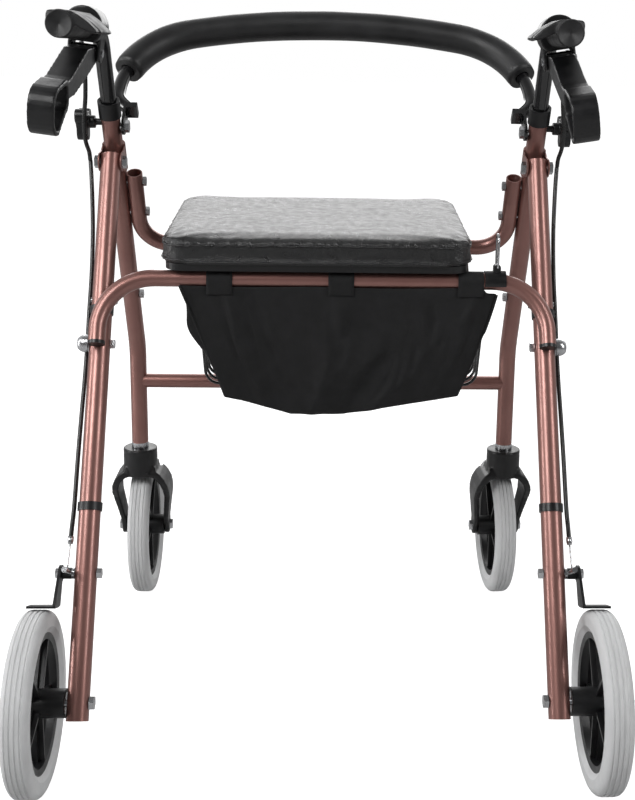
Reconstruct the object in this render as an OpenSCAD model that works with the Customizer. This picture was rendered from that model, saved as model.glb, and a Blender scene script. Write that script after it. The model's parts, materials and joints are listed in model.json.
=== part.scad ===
// Four-wheel rollator walker: a folding A-frame of bent steel tube with a padded seat, a padded
// backrest arch, height-adjustable handles with loop brake levers, a hanging pouch, a wire basket,
// two fixed rear wheels and two swivelling front casters.
// +Y points to the casters (the way the user walks), +X to the user's right, +Z up.
// The origin lies on the floor, at the middle of the footprint.

/* [Wheels] */
// Diameter of all four wheels
wheel_d = 190; // [180:1:200]
// Width of a tyre
tyre_w = 28; // [24:1:30]
// Distance of each rear wheel's middle plane from the centre
rear_wheel_x = 297; // [294:1:300]
// Distance of the rear axle behind the origin
rear_axle_back = 249; // [247:1:251]
// Distance of the caster wheel's axle behind its swivel axis
caster_trail = 40; // [36:1:44]
// Angle that the left caster is turned towards the centre
swivel_left = 0; // [0:1:30]
// Angle that the right caster is turned towards the centre
swivel_right = 3; // [0:1:30]

/* [Frame] */
// Distance of the leg tubes from the centre
side_x = 252; // [250:1:254]
// Height of the fold pivot
fold_z = 630; // [620:1:640]
// Distance of the fold pivot in front of the rear axle
fold_ahead = 290; // [280:1:300]
// Outside diameter of the main tubes
main_d = 22.2; // [22:0.1:23]
// Outside diameter of the rear legs
leg_d = 23.5; // [23:0.1:24]
// Outside diameter of the seat bars and the cross tube
bar_d = 19; // [18:0.5:20]
// Wall of the frame tubes
wall = 1.5; // [1.2:0.1:1.8]
// Slant of the main tubes from upright
main_lean = 27; // [25:1:29]
// Height of the main tubes' upper ends
main_top_z = 683; // [676:1:686]
// Height of the bend where the main tubes turn upright
main_bend_z = 366; // [360:1:372]
// Height of the main tubes' lower ends
main_end_z = 232; // [230:1:236]

/* [Seat] */
// Width of the cushion
seat_w = 352; // [344:1:356]
// Depth of the cushion
seat_depth = 262; // [255:1:268]
// Thickness of the cushion
cushion_t = 30; // [26:1:32]
// Sideways place of the seat's middle
seat_x = -8; // [-10:1:0]
// Height of the front seat bar
front_bar_z = 520; // [518:1:524]
// Height of the rear seat bar
rear_bar_z = 508.5; // [507:0.5:510]

/* [Handles] */
// Height of the grips' axes at the lowest setting
grip_z = 783; // [780:1:790]
// Distance of the grips' rear ends behind the origin
grip_end_back = 172; // [165:1:180]
// Outside diameter of the handle tubes
handle_d = 18; // [17.5:0.1:18.2]
// Angle that the left handle is turned outwards in its tube
handle_turn_left = 3.7; // [-4:0.1:4]
// Angle that the right handle is turned outwards in its tube
handle_turn_right = -3.5; // [-4:0.1:4]
// Angle that the left brake hangs outwards about its grip
brake_lean_left = 5; // [0:1:12]
// Angle that the right brake hangs outwards about its grip
brake_lean_right = 11; // [0:1:12]

/* [Backrest] */
// Slope of the backrest's plane above level
back_slope = 41.5; // [38:0.5:45]
// Diameter of the foam pad
pad_d = 36; // [32:1:38]

/* [Hidden] */
$fn = 48;

rose = [0.55, 0.36, 0.34];
black = [0.08, 0.08, 0.09];
soft_black = [0.14, 0.14, 0.15];
zinc = [0.75, 0.76, 0.78];
tyre_grey = [0.70, 0.71, 0.72];

wheel_r = wheel_d / 2;
rear_y = -rear_axle_back;
fold_y = rear_y + fold_ahead;
leg_lean = atan2(fold_ahead, fold_z - wheel_r);
leg_len = norm([fold_ahead, fold_z - wheel_r]);
leg_over = 8;                 // rear leg past the fold pivot
leg_below = 18;               // rear leg past the axle
pivot_gap = 32;               // from the fold pivot forward to the main tube's axis
bolt_d = 8;
play = 0.05;                  // radial clearance of a running fit
gap = 0.4;                    // clearance between bodies that don't touch
main_r = main_d / 2;

// Y of the main tube's axis at height z, above its bend
function main_y(z) = fold_y + pivot_gap + (fold_z - z) * tan(main_lean);
// Y of the rear leg's axis at height z
function leg_y(z) = fold_y - (fold_z - z) * tan(leg_lean);
stem_y = main_y(main_bend_z);

/* Tubes bent in one plane: straight stretches joined by round bends */
function unit(v) = v / norm(v);
function left_of(v) = [-v.y, v.x];
function turn(a, b, c) =
    let (u = unit(b - a), w = unit(c - b)) atan2(u.x * w.y - u.y * w.x, u * w);
function setback(pts, radii, i) =
    (i == 0 || i == len(pts) - 1) ? 0
    : radii[i - 1] * tan(abs(turn(pts[i - 1], pts[i], pts[i + 1])) / 2);

module straight(a, b, d) {
    translate([a.x, a.y, 0]) rotate([0, 0, atan2(b.y - a.y, b.x - a.x)])
        rotate([0, 90, 0]) rotate([0, 0, 37]) cylinder(d = d, h = norm(b - a));
}

module bend(a, b, c, r, d) {
    angle = turn(a, b, c);
    start = b - unit(b - a) * r * tan(abs(angle) / 2);
    centre = start + left_of(unit(b - a)) * r * sign(angle);
    first = atan2(start.y - centre.y, start.x - centre.x) + min(angle, 0);
    translate([centre.x, centre.y, 0]) rotate([0, 0, first])
        rotate_extrude(angle = abs(angle), $fn = 96) translate([r, 0]) circle(d = d);
}

// Each straight runs a little way inside its neighbouring bends, which are a hair thicker
lap = 0.2;
function hair(d) = 0.04 + 0.008 * d;
module rod_path(pts, radii, d) {
    for (i = [0 : len(pts) - 2]) {
        dir = unit(pts[i + 1] - pts[i]);
        straight(pts[i] + dir * (i == 0 ? 0 : setback(pts, radii, i) - lap),
                 pts[i + 1] - dir * (i == len(pts) - 2 ? 0 : setback(pts, radii, i + 1) - lap), d);
    }
    for (i = [1 : len(pts) - 2])
        bend(pts[i - 1], pts[i], pts[i + 1], radii[i - 1], d + hair(d));
}

// The same path with its two ends drawn out by e, to bore a tube right through
function drawn_out(pts, e) =
    let (n = len(pts) - 1)
    [for (i = [0 : n])
        i == 0 ? pts[0] - unit(pts[1] - pts[0]) * e
        : i == n ? pts[n] + unit(pts[n] - pts[n - 1]) * e : pts[i]];

module tube_path(pts, radii, d, t) {
    difference() {
        rod_path(pts, radii, d);
        rod_path(drawn_out(pts, 1), radii, d - 2 * t);
    }
}

// Turns a drawing's x into the model's Y and its y into Z
module side_view() { rotate([90, 0, 90]) children(); }
// A right-hand piece as drawn, or its left-hand mirror image
module side(s) { if (s < 0) mirror([1, 0, 0]) children(); else children(); }
module both_sides() { for (s = [-1, 1]) side(s) children(); }
// A bar along X through (y, z)
module cross_bar(x0, x1, y, z, d) {
    translate([x0, y, z]) rotate([0, 90, 0]) rotate([0, 0, 20]) cylinder(d = d, h = x1 - x0);
}
module hex_bar(x0, x1, y, z, across) {
    translate([x0, y, z]) rotate([0, 90, 0]) cylinder(d = across / cos(30), h = x1 - x0, $fn = 6);
}
// A round slice for a polygon: points on an arc
function arc_pts(c, r, a0, a1, n) =
    [for (i = [0 : n]) c + r * [cos(a0 + (a1 - a0) * i / n), sin(a0 + (a1 - a0) * i / n)]];
module rounded_plate(w, d, h, r) {
    linear_extrude(h) polygon(concat(
        arc_pts([w / 2 - r, d / 2 - r], r, 0, 90, 8), arc_pts([-w / 2 + r, d / 2 - r], r, 90, 180, 8),
        arc_pts([-w / 2 + r, -d / 2 + r], r, 180, 270, 8),
        arc_pts([w / 2 - r, -d / 2 + r], r, 270, 360, 8)));
}
module ring(d_out, d_in, h) {
    difference() {
        cylinder(d = d_out, h = h);
        translate([0, 0, -1]) cylinder(d = d_in, h = h + 2);
    }
}

/* Main frame */
main_path = [[main_y(main_top_z), main_top_z], [stem_y, main_bend_z], [stem_y, main_end_z]];
knob_z = main_top_z - 7;      // height of the clamping knob's stud
back_z = main_top_z - 12;     // height of the backrest's pivot bolts
seat_bolt_zs = [564, 603];    // heights of the bolts that hold the front seat bar
spare_bolt_z = 448;           // height of the accessory bolt on each main tube

module main_tube() {
    color(rose) difference() {
        translate([side_x, 0, 0]) side_view() tube_path(main_path, [70], main_d, wall);
        cross_bar(side_x, side_x + 20, main_y(knob_z), knob_z, bolt_d + 2 * play);
        cross_bar(side_x - 20, side_x, main_y(back_z), back_z, bolt_d);
        for (z = seat_bolt_zs) cross_bar(side_x - 20, side_x, main_y(z), z, 6);
        cross_bar(side_x - 20, side_x + 20, main_y(spare_bolt_z), spare_bolt_z, 6);
    }
}
module main_tube_left() { side(-1) main_tube(); }
module main_tube_right() { side(1) main_tube(); }

cross_tube_z = 319;
module front_cross_tube() {
    reach = side_x - sqrt(pow(main_r, 2) - pow(bar_d / 2, 2)) - 0.2;
    color(rose) difference() {
        cross_bar(-reach, reach, stem_y, cross_tube_z, bar_d);
        cross_bar(-reach - 1, reach + 1, stem_y, cross_tube_z, bar_d - 2 * wall);
        both_sides() translate([side_x, stem_y, cross_tube_z - 20]) cylinder(d = main_d, h = 40);
    }
}

front_bar_y = main_y(front_bar_z);
front_arm_x = side_x - main_r - bar_d / 2 - 0.2;
front_arm_len = 105;
module front_seat_bar() {
    color(rose) difference() {
        translate([0, front_bar_y, front_bar_z]) rotate([90 + main_lean, 0, 0])
            tube_path([[-front_arm_x, front_arm_len], [-front_arm_x, 0], [front_arm_x, 0],
                       [front_arm_x, front_arm_len]], [38, 38], bar_d, wall);
        for (z = seat_bolt_zs) both_sides()
            cross_bar(front_arm_x - 15, front_arm_x + 15, main_y(z), z, 6);
    }
}

// Bracket round the front of the main tube; its two ears carry the rear leg
ear_in = leg_d / 2 + 0.3;
ear_t = 1.4;
ear_out = ear_in + ear_t;
bracket_h = 34;
module ear_outline() {
    up = [-sin(main_lean), cos(main_lean)];
    ahead = [cos(main_lean), sin(main_lean)];
    pivot = [fold_y, fold_z];
    tube = [main_y(fold_z + 4), fold_z + 4];
    half = bracket_h / 2 - 1;
    translate(pivot) circle(r = 11);
    polygon([tube + 1.5 * ahead + half * up, tube + 1.5 * ahead - half * up,
             tube - 12 * ahead - half * up, pivot - 10.8 * up,
             pivot + 10.8 * up, tube - 12 * ahead + half * up]);
}
module leg_brackets() {
    color(rose) both_sides() difference() {
        union() {
            translate([side_x, main_y(fold_z + 4), fold_z + 4]) rotate([main_lean, 0, 0])
                translate([0, 0, -bracket_h / 2]) rotate_extrude(angle = 180, $fn = 64)
                    translate([main_r, 0]) square([ear_out + 0.3 - main_r, bracket_h]);
            for (x = [side_x - ear_out, side_x + ear_in]) translate([x, 0, 0]) side_view()
                linear_extrude(ear_t) ear_outline();
        }
        cross_bar(side_x - 20, side_x + 20, fold_y, fold_z, bolt_d);
    }
}

module hex_bolt(x0, x1, y, z, d, across, head) {
    cross_bar(x0, x1, y, z, d);
    hex_bar(x1, x1 + head, y, z, across);
    hex_bar(x0 - head, x0, y, z, across);
}
module fold_bolts() {
    color(zinc) both_sides()
        hex_bolt(side_x - ear_out, side_x + ear_out, fold_y, fold_z, bolt_d, 13, 5);
}

// Collar on each main tube's upper end, which guides the handle tube
module tube_collars() {
    color(black) both_sides()
        translate([side_x, main_y(main_top_z), main_top_z]) rotate([main_lean, 0, 0])
            difference() {
                union() {
                    cylinder(d = 26, h = 20.5);
                    translate([0, 0, -20]) cylinder(d = main_d - 2 * wall, h = 21);
                }
                translate([0, 0, -21]) cylinder(d = handle_d + 2 * play, h = 44);
                translate([0, 0, 19]) cylinder(d = 21, h = 3);
                rotate([-main_lean, 0, 0]) translate([-30, main_y(knob_z) - main_y(main_top_z),
                    knob_z - main_top_z]) rotate([0, 90, 0]) cylinder(d = 9, h = 60);
                rotate([-main_lean, 0, 0]) translate([-30, main_y(back_z) - main_y(main_top_z),
                    back_z - main_top_z]) rotate([0, 90, 0]) cylinder(d = 9, h = 30);
            }
}

module frame_bolts() {
    color(zinc) both_sides() {
        for (z = seat_bolt_zs) {
            cross_bar(front_arm_x - bar_d / 2, side_x - main_r + wall, main_y(z), z, 6);
            hex_bar(front_arm_x - bar_d / 2 - 4, front_arm_x - bar_d / 2, main_y(z), z, 10);
        }
        hex_bolt(side_x - main_r, side_x + main_r, main_y(spare_bolt_z), spare_bolt_z, 6, 10, 5);
        cross_bar(back_plate_x - 0.3, side_x - main_r + wall, main_y(back_z), back_z, bolt_d);
        hex_bar(back_plate_x - 5.3, back_plate_x - 0.3, main_y(back_z), back_z, 13);
    }
}

stem_d = 12;
bush_flange = 7;
module stem_bushes() {
    color(zinc) both_sides() translate([side_x, stem_y, main_end_z]) difference() {
        union() {
            translate([0, 0, -bush_flange]) cylinder(d = main_d + 1, h = bush_flange);
            cylinder(d = main_d - 2 * wall, h = 45);
        }
        translate([0, 0, -bush_flange - 1]) cylinder(d = stem_d + 2 * play, h = 60);
    }
}

/* Wire basket under the seat, hung on the front seat bar */
wire_d = 3.6;
rim_wire_d = 5;
basket_x0 = -155;
basket_x1 = 200;
basket_y0 = rear_y + 314;
basket_y1 = rear_y + 439;
basket_z0 = 352;
basket_z1 = 458;
basket_hoops = 6;
hanger_xs = [-132, 180];
module wire_basket() {
    hang_r = bar_d / 2 + 2.2;
    mid_x = (basket_x0 + basket_x1) / 2;
    color(black) {
        for (i = [0 : basket_hoops - 1])
            translate([0, basket_y0 + 11 + (basket_y1 - basket_y0 - 22) * i / (basket_hoops - 1), 0])
                rotate([90, 0, 0]) rod_path([[basket_x0, basket_z1], [basket_x0 + 8, basket_z0],
                    [basket_x1 - 8, basket_z0], [basket_x1, basket_z1]], [18, 18], wire_d);
        translate([0, 0, basket_z1]) {
            rod_path([[mid_x, basket_y0], [basket_x1, basket_y0], [basket_x1, basket_y1],
                [basket_x0, basket_y1], [basket_x0, basket_y0], [mid_x, basket_y0]],
                [9, 9, 9, 9], rim_wire_d);
            cross_bar(mid_x - 6, mid_x + 6, basket_y0, 0, rim_wire_d + 0.8);
        }
        for (x = [-120, -35, 50, 135]) translate([x, basket_y0 + 5, basket_z0 - 2.9])
            rotate([-90, 0, 0]) cylinder(d = 3.2, h = basket_y1 - basket_y0 - 10);
        for (x = hanger_xs) translate([x, 0, 0]) side_view()
            rod_path([[basket_y0, basket_z1], [front_bar_y - hang_r, front_bar_z - 12],
                [front_bar_y - hang_r, front_bar_z + hang_r], [front_bar_y + hang_r, front_bar_z + hang_r],
                [front_bar_y + hang_r, front_bar_z - 12], [basket_y1, basket_z1]],
                [6, hang_r - 1, hang_r - 1, 6], 4);
    }
}

/* Handles: each slides in its main tube */
handle_down = 222;            // handle tube below the main tube's upper end, along it
grip_d = 28;
housing_len = 46;
bend_y = main_y(grip_z);      // where the handle tube's two straight lines cross
grip_y0 = -grip_end_back;
housing_y0 = bend_y - 30 - housing_len;
handle_low = [main_y(main_top_z) + handle_down * sin(main_lean),
              main_top_z - handle_down * cos(main_lean)];
handle_path = [handle_low, [bend_y, grip_z], [grip_y0 + 6, grip_z]];
// A handle's pieces, drawn on the right, then turned in the main tube and put on their side
module handle_side(s) {
    side(s) translate([side_x, main_y(main_top_z), main_top_z]) rotate([main_lean, 0, 0])
        rotate([0, 0, s < 0 ? handle_turn_left : handle_turn_right]) rotate([-main_lean, 0, 0])
        translate([-side_x, -main_y(main_top_z), -main_top_z]) children();
}
// The brake's pieces, which also lean about the grip's axis
module brake_leaned(s) {
    translate([side_x, 0, grip_z]) rotate([0, s < 0 ? -brake_lean_left : -brake_lean_right, 0])
        translate([-side_x, 0, -grip_z]) children();
}
module handle_tube() {
    color(black) translate([side_x, 0, 0]) side_view()
        tube_path(handle_path, [46], handle_d, wall);
}
module handle_tube_left() { handle_side(-1) handle_tube(); }
module handle_tube_right() { handle_side(1) handle_tube(); }

// Grip with a palm rest that widens towards the walker's centre
module hand_grip() {
    grip_len = housing_y0 - grip_y0 - 0.5;
    color(soft_black) difference() {
        translate([side_x, grip_y0, grip_z]) union() {
            rotate([-90, 0, 0]) cylinder(d = grip_d, h = grip_len);
            translate([0, grip_len, 0]) rotate([90, 0, 0]) linear_extrude(grip_len - 10)
                polygon(concat([[13, 4]], arc_pts([6, 5], 8.5, 10, 90, 6), [[-11, 13], [-26, 5],
                        [-38, -5], [-39, -8], [-34, -9], [-22, -4], [-11, 2]]));
        }
        translate([side_x, grip_y0 + 6, grip_z]) rotate([-90, 0, 0])
            cylinder(d = handle_d, h = grip_len + 10);
    }
}
module hand_grip_left() { handle_side(-1) hand_grip(); }
module hand_grip_right() { handle_side(1) hand_grip(); }

// Housing at the front of the grip: a domed shell with two cheeks that hold the lever
pivot_y = housing_y0 + 22;
pivot_z = grip_z - 27;
lever_w = 26.4;
cheek_t = 4;
module brake_housing(s) {
    color(black) handle_side(s) difference() {
        union() {
            translate([side_x, housing_y0, grip_z]) rotate([-90, 0, 0])
                cylinder(d = 42, h = housing_len - 18);
            translate([side_x, housing_y0 + housing_len - 18, grip_z]) sphere(d = 42);
            brake_leaned(s) for (x = [-lever_w / 2 - gap - cheek_t, lever_w / 2 + gap])
                translate([side_x + x, 0, 0]) side_view() linear_extrude(cheek_t) {
                    translate([pivot_y, pivot_z]) circle(r = 10);
                    translate([pivot_y - 10, pivot_z]) square([20, 24]);
                }
        }
        translate([side_x, housing_y0 - 1, grip_z]) rotate([-90, 0, 0])
            cylinder(d = handle_d, h = housing_len + 20);
        translate([side_x, 0, 0]) side_view() rod_path(handle_path, [46], handle_d);
        brake_leaned(s) {
            cross_bar(side_x - 20, side_x + 20, pivot_y, pivot_z, 5);
            translate([side_x - lever_w / 2 - gap, housing_y0 - 1, grip_z - 40])
                cube([lever_w + 2 * gap, housing_len + 2, 24]);
        }
    }
}
module brake_housing_left() { brake_housing(-1); }
module brake_housing_right() { brake_housing(1); }

module lever_pin() {
    half = lever_w / 2 + gap + cheek_t;
    color(zinc) {
        cross_bar(side_x - half, side_x + half, pivot_y, pivot_z, 5);
        for (x = [-half - 1.5, half]) cross_bar(side_x + x, side_x + x + 1.5, pivot_y, pivot_z, 8);
    }
}
module lever_pin_left() { handle_side(-1) brake_leaned(-1) lever_pin(); }
module lever_pin_right() { handle_side(1) brake_leaned(1) lever_pin(); }

// Brake lever: an arm that runs back under the grip and ends in a closed hand loop.
// Drawn from its pivot: u runs back, v up.
loop_u = 128;                 // middle of the loop behind the pivot
loop_v = -54;                 // and below it
loop_h = 49;                  // height of the loop
loop_l = 56;                  // length of the loop
band_t = 5;                   // thickness of the loop's band
module loop_outline(t) {
    w = loop_l / 2 - t;
    h = loop_h / 2 - t;
    r = 20 - t;
    polygon(concat(
        arc_pts([w - r, h - r], r, 90, 0, 6), arc_pts([w - r, -h + r], r, 0, -90, 6),
        arc_pts([-w + r * 0.6, -h + r * 0.6 + 14], r * 0.6, -90, -180, 6),
        arc_pts([-w + r * 0.6, h - r * 0.6], r * 0.6, 180, 90, 6)));
}
module brake_lever() {
    color(black) translate([side_x - lever_w / 2, pivot_y, pivot_z]) side_view() mirror([1, 0, 0])
        difference() {
            union() {
                cylinder(r = 9, h = lever_w);
                linear_extrude(lever_w) polygon([[-3, 8], [40, 4], [98, -24], [112, -28],
                    [112, -46], [82, -42], [48, -29], [-4, -7]]);
                translate([loop_u, loop_v, 0]) rotate([0, 0, -14])
                    linear_extrude(lever_w) loop_outline(0);
            }
            translate([loop_u, loop_v, -1]) rotate([0, 0, -14])
                linear_extrude(lever_w + 2) loop_outline(band_t);
            translate([0, 0, -1]) cylinder(d = 5 + 2 * play, h = lever_w + 2);
        }
}
module brake_lever_left() { handle_side(-1) brake_leaned(-1) brake_lever(); }
module brake_lever_right() { handle_side(1) brake_leaned(1) brake_lever(); }

// Three-lobed clamping knob with its stud
module height_knob() {
    x0 = side_x + handle_d / 2 + 0.5;
    knob_x = side_x + 26;
    color(black) translate([0, main_y(knob_z), knob_z]) {
        translate([x0, 0, 0]) rotate([0, 90, 0]) cylinder(d = bolt_d, h = knob_x - x0 + 1);
        translate([knob_x - 8, 0, 0]) rotate([0, 90, 0]) cylinder(d = 15, h = 9);
        translate([knob_x, 0, 0]) rotate([0, 90, 0]) {
            cylinder(d = 24, h = 13);
            for (a = [0, 120, 240]) rotate([0, 0, a]) {
                translate([13, 0, 0]) cylinder(d = 17, h = 13);
                translate([0, -8.5, 0]) cube([13, 17, 13]);
            }
        }
    }
}
module height_knob_left() { side(-1) height_knob(); }
module height_knob_right() { side(1) height_knob(); }

/* Backrest: an arch of tube in one sloping plane, on two pivot bolts */
back_x = 249;                 // half width of the arch
back_rise = 184;              // rise of the arch's middle, along its plane
arch_r = 700;
corner_r = 110;
arch_half = asin((back_x - corner_r) / (arch_r - corner_r));
corner_s = back_rise - arch_r + (arch_r - corner_r) * cos(arch_half);
back_plate_x = side_x - main_r - 1.6 - 3;
back_leg_x = back_plate_x - 6.5;
module backrest_plane() {
    translate([0, main_y(back_z), back_z]) rotate([back_slope, 0, 0]) children();
}
back_d = 16;
plate_len = 24;               // from the pivot to where the tube starts
top_s = back_rise + arch_r * (1 / cos(arch_half) - 1);
function back_path(low) = [[back_leg_x, low], [back_x, low + 20],
    [back_x, top_s - back_x * tan(arch_half)], [0, top_s],
    [-back_x, top_s - back_x * tan(arch_half)], [-back_x, low + 20], [-back_leg_x, low]];
module backrest_tube() {
    color(black) backrest_plane() {
        tube_path(back_path(plate_len), [24, corner_r, arch_r - 12, corner_r, 24], back_d, wall);
        for (s = [-1, 1]) difference() {
            union() {
                translate([s > 0 ? back_plate_x : -back_plate_x - 3, 0, 0]) rotate([90, 0, 90])
                    linear_extrude(3) {
                        circle(r = 10);
                        translate([0, -10]) square([plate_len + 8, 20]);
                    }
                translate([s * (back_leg_x + 1), plate_len - 1, 0]) rotate([-90, 0, 0])
                    linear_extrude(8) square([14, 18], center = true);
            }
            translate([s > 0 ? back_plate_x - 5 : -back_plate_x - 5, 0, 0]) rotate([0, 90, 0])
                cylinder(d = bolt_d + 2 * play, h = 10);
        }
    }
}
pad_from = 20;                // angle along the corner bend where the pad starts
module pad_rod(d) { rod_path(back_path(plate_len), [24, corner_r, arch_r - 12, corner_r, 24], d); }
module backrest_pad() {
    color(soft_black) backrest_plane() difference() {
        pad_rod(pad_d);
        pad_rod(back_d);
        for (s = [0, 1]) mirror([s, 0, 0]) {
            translate([back_x - corner_r, corner_s, 0]) rotate([0, 0, pad_from])
                translate([corner_r - 60, -120, -30]) cube([120, 120, 60]);
            translate([back_x - 60, -20, -30]) cube([120, corner_s - 20, 60]);
        }
    }
}

/* Seat: a board and cushion that flip up about the front seat bar */
seat_tilt = 4.3;               // the seat rises towards the casters
hinge_h = 14.3;               // underside of the board above the bar's axis
board_t = 8;
seat_back = 198;              // cushion behind the hinge axis
module seat_plane() {
    translate([seat_x, front_bar_y, front_bar_z]) rotate([seat_tilt, 0, 0])
        translate([0, 0, hinge_h]) children();
}
module seat_board() {
    color(black) seat_plane() translate([0, seat_depth / 2 - seat_back, 0])
        rounded_plate(seat_w - 10, seat_depth - 10, board_t, 20);
}
module seat_cushion() {
    color(soft_black) seat_plane() translate([0, seat_depth / 2 - seat_back, board_t])
        rounded_plate(seat_w, seat_depth, cushion_t, 26);
}
module seat_hinges() {
    color(black) for (x = [-95, 95]) difference() {
        union() {
            translate([seat_x + x - 14, front_bar_y, front_bar_z]) rotate([0, 90, 0])
                cylinder(d = bar_d + 7, h = 28);
            seat_plane() translate([x - 14, -24, -3]) cube([28, 48, 3]);
        }
        cross_bar(-200, 200, front_bar_y, front_bar_z, bar_d + 2 * play);
    }
}

/* Rear frame: both rear legs and the rear seat bar fold together about the fold bolts */
module along_leg() {
    translate([side_x, fold_y, fold_z]) rotate([-leg_lean, 0, 0]) rotate([180, 0, 0]) children();
}
dome_bolt_at = 221;           // along the leg from the fold pivot
clip_at = 170;
module rear_leg() {
    color(rose) difference() {
        along_leg() translate([0, 0, -leg_over])
            ring(leg_d, leg_d - 2 * wall, leg_over + leg_len + leg_below);
        cross_bar(side_x - 20, side_x + 20, fold_y, fold_z, bolt_d + 2 * play);
        cross_bar(side_x - 20, side_x + 20, rear_y, wheel_r, bolt_d);
        along_leg() for (at = [dome_bolt_at, clip_at, brake_at])
            translate([-20, 0, at]) rotate([0, 90, 0]) cylinder(d = 6, h = 40);
    }
}
module rear_leg_left() { side(-1) rear_leg(); }
module rear_leg_right() { side(1) rear_leg(); }

bar_off = (leg_d + bar_d) / 2 + 0.2;
rear_bar_y = leg_y(rear_bar_z) - bar_off / cos(leg_lean);
rear_arm_len = 74;
module rear_bar_plane() {
    translate([0, rear_bar_y, rear_bar_z]) rotate([90 - leg_lean, 0, 0]) children();
}
rear_bar_path = [[-side_x, -rear_arm_len], [-side_x, 0], [side_x, 0], [side_x, -rear_arm_len]];
module rear_seat_bar() { color(rose) rear_bar_plane() tube_path(rear_bar_path, [60, 60], bar_d, wall); }
module rear_bar_cut(over) { rear_bar_plane() rod_path(rear_bar_path, [60, 60], bar_d + over); }
module bar_end_caps() {
    color(black) rear_bar_plane() both_sides() translate([side_x, -rear_arm_len, 0])
        rotate([90, 0, 0]) {
            cylinder(d = bar_d, h = 4);
            translate([0, 0, -12]) cylinder(d = bar_d - 2 * wall, h = 12.5);
        }
}

// Domed bolts and the clips' screws through the rear legs
module leg_bolts() {
    r = leg_d / 2;
    both_sides() along_leg() {
        translate([0, 0, dome_bolt_at]) rotate([0, 90, 0]) {
            color(zinc) translate([0, 0, -r - 5]) cylinder(d = 6, h = 2 * r + 6);
            color(zinc) translate([0, 0, -r - 5]) cylinder(d = 11.5, h = 5, $fn = 6);
            color(black) translate([0, 0, r + 0.6]) {
                cylinder(d = 20, h = 4);
                translate([0, 0, 4]) intersection() {
                    sphere(d = 20);
                    cylinder(d = 21, h = 8);
                }
            }
        }
        translate([0, 0, clip_at]) rotate([0, 90, 0]) color(zinc) {
            translate([0, 0, -r - 4]) cylinder(d = 6, h = 2 * r + 5);
            translate([0, 0, -r - 5]) cylinder(d = 10, h = 4, $fn = 6);
        }
    }
}

// Bands that hold the brake cables to the rear legs
module cable_clips() {
    color(black) difference() {
        both_sides() along_leg() for (at = [clip_at + 8, 400])
            translate([0, 0, at]) ring(leg_d + 3, leg_d, 9);
        rear_bar_cut(1);
    }
}

// Axle bolts of the rear wheels
hub_in = side_x + leg_d / 2 + 0.7;
hub_out = rear_wheel_x + 28;
module rear_axle_bolts() {
    color(zinc) both_sides() {
        cross_bar(side_x - leg_d / 2, hub_out + 3, rear_y, wheel_r, bolt_d);
        hex_bar(side_x - leg_d / 2 - 5, side_x - leg_d / 2, rear_y, wheel_r, 13);
        hex_bar(hub_out + 0.5, hub_out + 5.5, rear_y, wheel_r, 13);
        translate([hub_out + 5.5, rear_y, wheel_r]) rotate([0, 90, 0]) cylinder(d1 = 8, d2 = 4, h = 2);
    }
}

// Brakes: a pivot tube on each rear leg and an arm whose plate presses on the tyre
brake_at = leg_len - 133;     // along the leg from the fold pivot
brake_y = leg_y(wheel_r + 133 * cos(leg_lean));
brake_z = wheel_r + 133 * cos(leg_lean);
plate_x = rear_wheel_x - 20;
module brake_pivots() {
    color(zinc) both_sides() {
        cross_bar(side_x + leg_d / 2 + 1, plate_x + 6, brake_y, brake_z, 6);
        cross_bar(side_x - leg_d / 2 - 4, side_x + leg_d / 2 + 1, brake_y, brake_z, 6);
        cross_bar(side_x + leg_d / 2, side_x + leg_d / 2 + 2.5, brake_y, brake_z, 12);
        hex_bar(side_x - leg_d / 2 - 5, side_x - leg_d / 2, brake_y, brake_z, 10);
        hex_bar(plate_x + 3.5, plate_x + 7, brake_y, brake_z, 10);
    }
}
shoe_gap = 2;                 // between the tyre and the released brake plate
module brake_arm() {
    tyre_top = wheel_r + shoe_gap;
    color(black) {
        difference() {
            union() {
                translate([plate_x, 0, 0]) side_view() linear_extrude(3) {
                    translate([brake_y, brake_z]) circle(r = 9);
                    polygon([[brake_y - 4, brake_z + 9], [brake_y + 8, brake_z + 4],
                             [brake_y - 4, brake_z - 13],
                             [rear_y + tyre_top * cos(62) + 2, wheel_r + tyre_top * sin(62) + 1],
                             [rear_y + tyre_top * cos(76), wheel_r + tyre_top * sin(76) + 4]]);
                }
                cross_bar(side_x + leg_d / 2 + 3, plate_x + 1, brake_y, brake_z, 12);
            }
            cross_bar(side_x, plate_x + 10, brake_y, brake_z, 6 + 2 * play);
        }
        translate([0, rear_y, wheel_r]) rotate([69, 0, 0])
            translate([plate_x + 0.5, tyre_top, -11]) cube([rear_wheel_x + 10 - plate_x, 2.5, 22]);
    }
}
module brake_arm_left() { side(-1) brake_arm(); }
module brake_arm_right() { side(1) brake_arm(); }

module brake_springs() {
    color(zinc) both_sides() translate([side_x + leg_d / 2 + 4, brake_y, brake_z]) {
        rotate([150, 0, 0]) translate([0, 7.5, 0]) rotate([-90, 0, 0]) cylinder(d = 4.4, h = 26);
        rotate([150, 0, 0]) translate([0, 33, 0]) rotate([-90, 0, 0]) cylinder(d = 6, h = 5);
    }
}

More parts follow.
